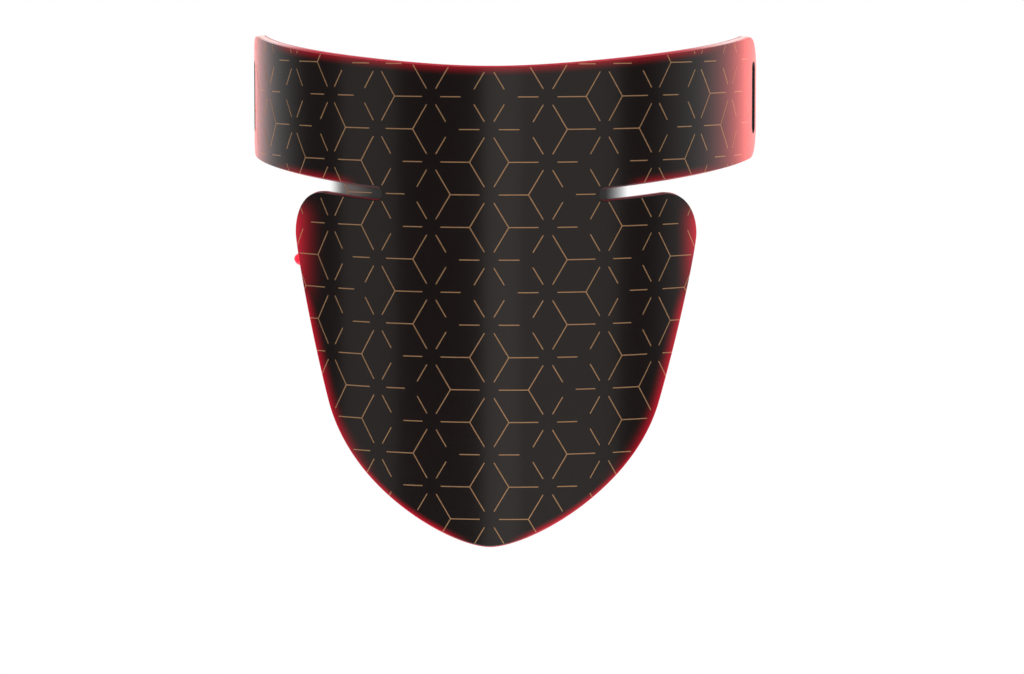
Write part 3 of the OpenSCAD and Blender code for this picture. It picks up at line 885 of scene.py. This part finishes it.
def foil_rays():
    """The star pattern's lines, as pairs of flat points and whether they meet others. Each star has six rays,
    to the middles of the triangles round it; where the triangle is open its rays stop short."""
    rays = []
    ways = [(2 / 3, 0), (1 / 3, 1), (-1 / 3, 1), (-2 / 3, 0), (-1 / 3, -1), (1 / 3, -1)]
    for k in range(-7, 8):
        for j in range(-9, 9):
            if (k - j) % 2:
                continue
            star = np.array([k * STAR_S, STAR_TOP_Z - j * STAR_Z])
            for ds, dz in ways:
                middle = star + [ds * STAR_S, dz * STAR_Z]
                rays.append((star, middle, joined(k, j, ds, dz)))
    return rays


# the upper rows' meeting places, in thirds of a column, where the print leaves its rule
UPPER_JOINS = {
    -8: (-10, -4, -2, 2, 4, 10),
    -7: (-17, -5, 5, 7, 13),
    -6: (-14, -8, -4, 4, 8, 14),
    -5: (-11, -7, -1, 1, 11),
}


def joined(k, j, ds, dz):
    """Whether the three rays round a triangle's middle meet there."""
    row = j - int(round(dz))
    third = 3 * k + int(round(3 * ds))  # the middle's place in thirds of a column
    if row in UPPER_JOINS:
        return third in UPPER_JOINS[row]
    # the middle lies 2/3 of a column to the right or to the left of exactly one star on its own row
    to_right = (third - 2) % 3 == 0 and ((third - 2) // 3 - row) % 2 == 0
    col = (third - 2) // 3 if to_right else (third + 2) // 3
    if third < 0:  # the left half mirrors the right
        to_right, col = not to_right, -col
    shifted = row + 2 if row >= 5 else row
    rule = (shifted - 2 - 3 * col) % 6 == 0
    return rule if to_right else not rule


def on_front(points):
    """Points of the flat sheet that the printed front holds, clear of the rim and the strap slots."""
    loop = np.concatenate([face_low, face_top])
    held = inside(points, loop) | inside(points, wing_edge) | inside(points, mirrored(wing_edge))
    held &= edge_distance(points) > SHELL_INSET + FOIL_RIM
    for hole in (slot_hole, mirrored(slot_hole)):
        held &= ~inside(points, hole) & (distance(points, hole) > FOIL_RIM)
    return held


def on_left_web(points):
    """Whether flat points lie on the dark part of the left notch's web."""
    s, z = -points[:, 0], points[:, 1]
    return (s > NOTCH_S) & (s < WEB_PRINT) & (z > cheek_top(s) + 0.1) & (z < wing_low(s) - FOIL_RIM)


def foil_strips(rays, keep, on_sheet=on_front, radius=SHEET_R):
    """Thin raised strips along the rays that keep wants, cut to the part that on_sheet holds."""
    faces, flat = [], []
    for star, middle, whole in rays:
        a = star + RAY_START * (middle - star)
        b = middle if whole else star + RAY_STOP * (middle - star)
        along = (b - a) / np.linalg.norm(b - a)
        if whole:
            b = b + along * FOIL_W * 0.3
        t = np.linspace(0, 1, 60)
        line = a + t[:, None] * (b - a)
        ok = on_sheet(line)
        if not ok.any() or not keep(line[ok].mean(0), line[ok]):
            continue
        start, end = np.flatnonzero(ok)[[0, -1]]
        a, b = line[start], line[end]
        if np.linalg.norm(b - a) < SHORTEST_RAY:
            continue
        n = max(2, int(abs(b[0] - a[0]) / 1.5) + 2)
        path = np.linspace(a, b, n)
        across = np.array([-along[1], along[0]]) * FOIL_W / 2
        base = len(flat)
        for p in path:
            for side, r in ((-1, -FOIL_SINK), (-0.8, FOIL_H), (0.8, FOIL_H), (1, -FOIL_SINK)):
                q = p + side * across
                flat.append((q[0], q[1], radius + r))
        for i in range(n - 1):
            o = base + 4 * i
            for c in range(4):
                d = (c + 1) % 4
                faces.append((o + c, o + 4 + c, o + 4 + d, o + d))
        faces.append((base + 3, base + 2, base + 1, base))
        o = base + 4 * (n - 1)
        faces.append((o, o + 1, o + 2, o + 3))
    return np.array(flat), faces


def foil(name, keep, *sheet):
    flat, faces = foil_strips(foil_rays(), keep, *sheet)
    obj = new_object(name, spots(*flat.T), faces, None, sheet_values(flat[:, :2]), [FOIL])
    turned_out(obj)
    obj.data.polygons.foreach_set("use_smooth", [False] * len(obj.data.polygons))
    return obj


def on_wing(mid, line):
    return line[:, 0].max() > BEND_FROM and mid[1] > wing_low(mid[0])


def on_left_wing(mid, line):
    return on_wing(mid * [-1, 1], line * [-1, 1])


def on_face(mid, line):
    return not on_wing(mid, line) and not on_left_wing(mid, line)


face_foil = foil("foil_face", on_face)
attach(face_foil, "visor")
both_wings(foil("wing", on_wing), "foil_wing", "metal_copper", left=foil("wing_left", on_left_wing))
web_foil = foil("foil_web", lambda mid, line: True, on_left_web, WEB_R)
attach(web_foil, "visor")

# ---------------------------------------------------------------- LEDs and the parts round them


def low_edge_z(s):
    path = moved_in(np.concatenate([chin, flank[1:]]), 8.0)
    return np.interp(abs(s), path[:, 0], path[:, 1])


def root_spots():
    found = []
    for i in range(-5, 6):
        for j in range(LED_ROWS):
            s, z = i * LED_PITCH_S, TOP_ROW_Z - j * LED_PITCH_Z
            away = abs(s)
            if z <= low_edge_z(s) or (away > 40 and 137 < z < 157) or (away < 10 and abs(z - SEAT_Z) < 12):
                continue
            if away < NOTCH_S or z < cheek_top(away) - 12:
                found.append((s, z, (abs(i) + j) % 2))
    return found


def wing_spots():
    found = []
    for i in range(5, 10):
        for j in (-1, 0, 1):
            s = i * LED_PITCH_S
            found.append((s, (top(s) + wing_low(s)) / 2 - j * LED_PITCH_Z, (i + j + 1) % 2))
    return found


def ring(hx, hz, depth, corner=0.0, n=24):
    """Points of a rectangle with cut corners, or of a circle when corner is None, one each way of n."""
    a = np.arange(n) * 2 * math.pi / n
    c, s = np.cos(a), np.sin(a)
    if corner is None:
        return np.stack([hx * c, np.full(n, depth), hx * s], -1)
    k = 1 / np.maximum(abs(c) / hx, abs(s) / hz)
    x, z = c * k, s * k
    over = (abs(x) / hx + abs(z) / hz - 1) > 1 - corner
    shrink = np.where(over, (2 - corner) / (abs(x) / hx + abs(z) / hz), 1.0)
    return np.stack([x * shrink, np.full(n, depth), z * shrink], -1)


def stack(rings, colours):
    """A capped body of matching rings, in a small part's own axes: X along the sheet, Y inwards, Z up."""
    n = len(rings[0])
    verts = np.concatenate(rings)
    faces, mats = [], []
    for k in range(len(rings) - 1):
        for i in range(n):
            j = (i + 1) % n
            faces.append((k * n + i, k * n + j, (k + 1) * n + j, (k + 1) * n + i))
            mats.append(colours[k])
    faces.append(tuple(range(n))[::-1])
    mats.append(colours[0])
    faces.append(tuple(range((len(rings) - 1) * n, len(rings) * n)))
    mats.append(colours[-1])
    return verts, faces, mats


def together(*parts):
    verts, faces, mats, base = [], [], [], 0
    for v, f, m in parts:
        verts.append(v)
        faces += [tuple(i + base for i in face) for face in f]
        mats += m
        base += len(v)
    return np.concatenate(verts), faces, mats


def block(x, y, z, size, colour, bevel=0.06):
    """A small bevelled block with its outer face at depth y."""
    hx, hy, hz = size[0] / 2, size[1], size[2] / 2
    rings = [
        ring(hx - bevel, hz - bevel, 0),
        ring(hx, hz, bevel),
        ring(hx, hz, hy - bevel),
        ring(hx - bevel, hz - bevel, hy),
    ]
    v, f, m = stack(rings, [colour] * 3)
    return v + [x, y, z], f, m


def led_template():
    """A flat LED package: a body with tin feet, a round cup and a filled window."""
    body = stack(
        [
            ring(1.38, 1.55, 0.0, 0.06),
            ring(1.4, 1.6, 0.06, 0.06),
            ring(1.4, 1.6, 0.62, 0.06),
            ring(1.34, 1.54, 0.7, 0.06),
            ring(1.15, 0, 0.7, None),
            ring(1.02, 0, 0.58, None),
            ring(0.98, 0, 0.56, None),
            ring(0.6, 0, 0.62, None),
            ring(0.2, 0, 0.645, None),
        ],
        [0, 0, 0, 0, 0, 1, 1, 1, 1],
    )
    feet = [block(0, 0.02, side * 1.64, (2.2, 0.34, 0.22), 2, 0.04) for side in (-1, 1)]
    return together(body, *feet)


def chip_template():
    body = block(0, 0.12, 0, (2.5, 0.68, 2.5), 0, 0.1)
    legs = [
        block(x, 0.02, z, (0.26, 0.2, 0.4), 2, 0.03)
        for z in (-1.32, 1.32)
        for x in (-0.9, -0.3, 0.3, 0.9)
    ]
    mark = stack([ring(0.22, 0, 0.79, None, 16), ring(0.22, 0, 0.805, None, 16)], [1])
    mark = (mark[0] + [-0.8, 0, 0.8], mark[1], mark[2])
    return together(body, mark, *legs)


def two_ended(w, h, length, upright):
    """A resistor or capacitor: a body between two tin caps."""
    middle = (w, h * 0.94, length * 0.64) if upright else (length * 0.64, h * 0.94, w)
    cap = (w * 1.03, h, length * 0.2) if upright else (length * 0.2, h, w * 1.03)
    ends = [
        block(0 if upright else side * length * 0.4, 0, side * length * 0.4 if upright else 0, cap, 2, 0.04)
        for side in (-1, 1)
    ]
    return together(block(0, 0.0, 0, middle, 0, 0.03), *ends)


def scatter(name, template, places, materials, body, slot, *nodes):
    """Copies of a small part, set on the board's inner face, as one piece."""
    v, f, m = template
    verts, faces, mats = [], [], []
    x, y = v[:, 0], CHIP_R - v[:, 1]
    for n, (s, z) in enumerate(places):
        a = turn(s)
        across = x * math.cos(a) + y * math.sin(a)
        deep = AXIS_Y + x * math.sin(a) - y * math.cos(a)
        verts.append(MM * np.stack([across, deep, v[:, 2] + z - SEAT_Z], -1))
        faces += [tuple(i + n * len(v) for i in face) for face in f]
        mats += m
    obj = new_object(name, np.concatenate(verts), faces, None, None, materials, mats)
    turned_out(obj)
    obj.data.set_sharp_from_angle(angle=math.radians(35))
    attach(obj, body)
    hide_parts(*nodes)
    return obj


led = led_template()
resistor = two_ended(0.8, 0.45, 1.6, True)
RED, NIR = 0, 1
LED_KINDS = ((RED, "red_leds", RED_WINDOW, "led_white"), (NIR, "nir_leds", NIR_WINDOW, "led_smoke"))
RESISTOR_S = 4.2  # from a red LED's middle to its resistor's


def led_set(spots_list, body, tail):
    """The LEDs of one board, and a resistor beside each red one. spots_list holds (s, z, kind)."""
    for kind, stem, window, slot in LED_KINDS:
        places = [(s, z) for s, z, k in spots_list if k == kind]
        node = stem if body == "visor" else f"temple_{stem}{tail}"
        scatter("led_" + stem + tail, led, places, [PACKAGE, window, SOLDER], body, slot, node)
    node = "resistors" if body == "visor" else "temple_resistors" + tail
    flip = -1 if tail == "_left" else 1
    places = [(s + flip * RESISTOR_S, z) for s, z, k in spots_list if k == RED]
    scatter("small_resistors" + tail, resistor, places, [CHIP, CHIP, SOLDER], body, "chip_black", node)


led_set(root_spots(), "visor", "")
led_set(wing_spots(), "temple_right", "_right")
led_set([(-s, z, k) for s, z, k in wing_spots()], "temple_left", "_left")
CHIP_ARCS = (-38.5, -23.2, 23.2, 38.5)
CHIP_Z, CAPACITOR_ZS = 133, (127.6, 138.4)
scatter(
    "driver_chips_set", chip_template(), [(s, CHIP_Z) for s in CHIP_ARCS],
    [CHIP, PACKAGE, SOLDER], "visor", "chip_black", "driver_chips",
)
scatter(
    "capacitor_set", two_ended(1.2, 0.8, 2.0, False), [(s, z) for s in CHIP_ARCS for z in CAPACITOR_ZS],
    [CERAMIC, CERAMIC, SOLDER], "visor", "capacitor_tan", "capacitors",
)

# ---------------------------------------------------------------- soft pads


def softened(name, node, voxel, rounds):
    """A moulded soft piece from its CAD solid: remeshed finely and eased, so that its corners turn softly."""
    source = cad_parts[node]
    obj = bpy.data.objects.new(name, source.data.copy())
    bpy.context.scene.collection.objects.link(obj)
    obj.matrix_world = source.matrix_world.copy()
    remesh = obj.modifiers.new("fine", "REMESH")
    remesh.mode, remesh.voxel_size = "VOXEL", voxel
    ease = obj.modifiers.new("ease", "SMOOTH")
    ease.factor, ease.iterations = 0.5, rounds
    depsgraph = bpy.context.evaluated_depsgraph_get()
    mesh = bpy.data.meshes.new_from_object(obj.evaluated_get(depsgraph))
    obj.modifiers.clear()
    obj.data = mesh
    mesh.materials.clear()
    mesh.materials.append(SILICONE)
    mesh.polygons.foreach_set("use_smooth", [True] * len(mesh.polygons))
    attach(obj, "visor")
    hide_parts(node)


softened("nose_saddle", "nose_rest", 0.0006, 40)
softened("brow_pads", "forehead_pads", 0.0005, 3)

# ---------------------------------------------------------------- hard CAD pieces that stay, refinished


def refinish(node, material, bevel=0.00015):
    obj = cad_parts[node]
    for slot in obj.material_slots:
        slot.material = material
    edge = obj.modifiers.new("edge", "BEVEL")
    edge.width, edge.segments = bevel, 2
    edge.limit_method, edge.angle_limit = "ANGLE", math.radians(40)


for side in ("left", "right"):
    refinish("slot_liner_" + side, EYELET)
refinish("port_boot", BOOT, 0.0001)
refinish("port_sleeve", METAL, 0.00005)
refinish("port_housing", CHIP)
refinish("port_contacts", CONTACT, 0.00003)

# ---------------------------------------------------------------- floor, light and camera


def floor():
    """A round pale floor under the mask, small enough not to lighten what the glossy front reflects."""
    radius, z, sides = 1.2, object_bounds()[0].z - 0.34, 96
    turns = np.linspace(0, 2 * math.pi, sides + 1)[:-1]
    corners = [(radius * math.cos(t), radius * math.sin(t), z) for t in turns]
    obj = new_object("floor", np.array(corners), [tuple(range(sides))])
    n = Nodes("floor_pale")
    n.link(n.mix(n.noise(3.0, 2), (0.93, 0.93, 0.93), (0.96, 0.96, 0.96)), n.bsdf.inputs["Base Color"])
    n.set(Roughness=0.9, Emission_Color=(1, 1, 1, 1), Emission_Strength=0.25)
    obj.data.materials.append(n.material)
    obj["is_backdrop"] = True


def towards(azimuth, elevation):
    """The unit vector from the mask towards a direction, as angles in radians: 0, 0 is straight in front."""
    flat = math.cos(elevation)
    return Vector((math.sin(azimuth) * flat, -math.cos(azimuth) * flat, math.sin(elevation)))


def panel(name, azimuth, elevation, width, height, power):
    """A soft warm panel light aimed at the mask's middle."""
    middle, distance = Vector((0, 0.02, -0.02)), 1.6
    back = towards(math.radians(azimuth), math.radians(elevation))
    light = bpy.data.lights.new(name, "AREA")
    light.shape, light.size, light.size_y = "RECTANGLE", width, height
    light.energy, light.color = power, (1, 0.95, 0.9)
    obj = bpy.data.objects.new(name, light)
    obj.location = middle + back * distance
    obj.rotation_mode = "QUATERNION"
    obj.rotation_quaternion = (-back).to_track_quat("-Z", "Y")
    bpy.context.scene.collection.objects.link(obj)


def studio():
    """An even pale room, dimmer in the front's reflections, where three panels draw the soft bands."""
    world = bpy.data.worlds.new("studio")
    bpy.context.scene.world = world
    world.use_nodes = True
    tree = world.node_tree
    sky = tree.nodes["Background"]
    sky.inputs["Color"].default_value = (1, 1, 1, 1)
    # glossy surfaces see a dim room in front and a bright one behind
    seen = tree.nodes.new("ShaderNodeLightPath")
    way = tree.nodes.new("ShaderNodeTexCoord")
    rear = tree.nodes.new("ShaderNodeVectorMath")
    rear.operation = "DOT_PRODUCT"
    rear.inputs[1].default_value = (0.2334, 0.9724, 0)
    room = tree.nodes.new("ShaderNodeMapRange")
    for key, value in (("From Min", -0.07), ("From Max", 0.62), ("To Min", 0.05), ("To Max", 0.84)):
        room.inputs[key].default_value = value
    strength = tree.nodes.new("ShaderNodeMix")
    strength.inputs[2].default_value = 1.0
    tree.links.new(way.outputs["Generated"], rear.inputs[0])
    tree.links.new(rear.outputs["Value"], room.inputs["Value"])
    tree.links.new(seen.outputs["Is Glossy Ray"], strength.inputs[0])
    tree.links.new(room.outputs["Result"], strength.inputs[3])
    tree.links.new(strength.outputs[0], sky.inputs["Strength"])
    panel("front_strip", 2.5, 6, 0.5, 2.2, 2.2)
    panel("left_box", -61, 8, 0.86, 2.2, 1.9)
    panel("right_box", 34.5, 8, 1.3, 2.2, 3.6)


def camera():
    """Places the camera as for the photograph: a little to the right, a little above, from about 2 m."""
    azimuth, elevation = math.radians(3.583), math.radians(5.03)
    distance = 1.984
    seen_width = 1024 * 0.41653 * MM  # at the aim
    back = towards(azimuth, elevation)
    right = Vector((math.cos(azimuth), math.sin(azimuth), 0))
    up = back.cross(right)
    aim = Vector(spots(SHEET_R * azimuth, 93.55, SHEET_R))
    data = bpy.data.cameras.new("camera")
    data.sensor_width = 36.0
    data.lens = data.sensor_width * distance / seen_width
    data.clip_start, data.clip_end = 0.05, 200
    obj = bpy.data.objects.new("camera", data)
    obj.location = aim + back * distance + right * 2.64 * MM - up * 5.1 * MM
    obj.rotation_mode = "QUATERNION"
    obj.rotation_quaternion = (-back).to_track_quat("-Z", "Y")
    bpy.context.scene.collection.objects.link(obj)
    bpy.context.scene.camera = obj


floor()
studio()
camera()
bpy.context.scene.view_settings.view_transform = "Standard"
